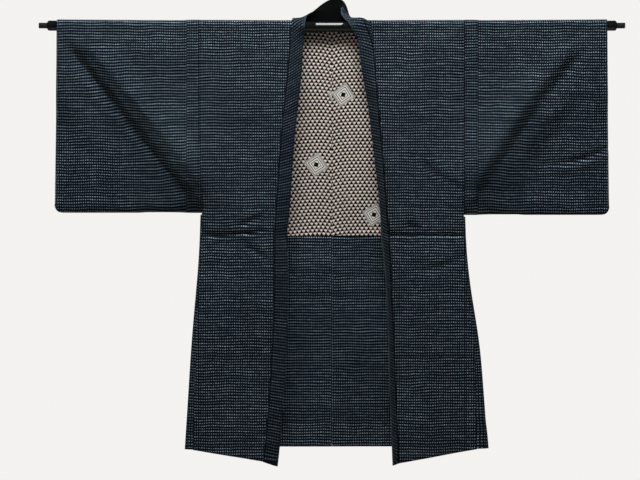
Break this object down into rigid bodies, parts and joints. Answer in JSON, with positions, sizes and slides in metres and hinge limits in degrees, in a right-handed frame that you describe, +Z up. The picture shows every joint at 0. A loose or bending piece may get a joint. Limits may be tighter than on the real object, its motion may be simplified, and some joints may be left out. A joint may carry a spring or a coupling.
{
  "type": "haori on a hanging rod",
  "caption": "Open-fronted hip-length jacket with deep square sleeves and a folded collar, hung by its sleeves on a round rod.",
  "frame": {"origin": "middle of the line through the rod's two end pins, where the rod is held", "axes": "+X along the rod to the viewer's right, -Y out of the open front, +Z up"},
  "size_m": [1.3866, 0.0818, 1.1103],
  "materials": {
    "haori_cloth": "matte woven cotton with rows of small pale dots",
    "lining_cloth": "smooth cream lining printed with rows of small black triangles",
    "rod_lacquer": "glossy black",
    "pin_metal": "satin black"
  },
  "bodies": {
    "root": {"body_left": "haori_cloth", "body_right": "haori_cloth", "sleeve_left": "haori_cloth", "sleeve_right": "haori_cloth", "gusset_left": "haori_cloth", "gusset_right": "haori_cloth", "collar": "haori_cloth", "lining_left": "lining_cloth", "lining_right": "lining_cloth", "rod_bar": "rod_lacquer", "rod_pin_left": "pin_metal", "rod_pin_right": "pin_metal"}
  },
  "joints": []
}
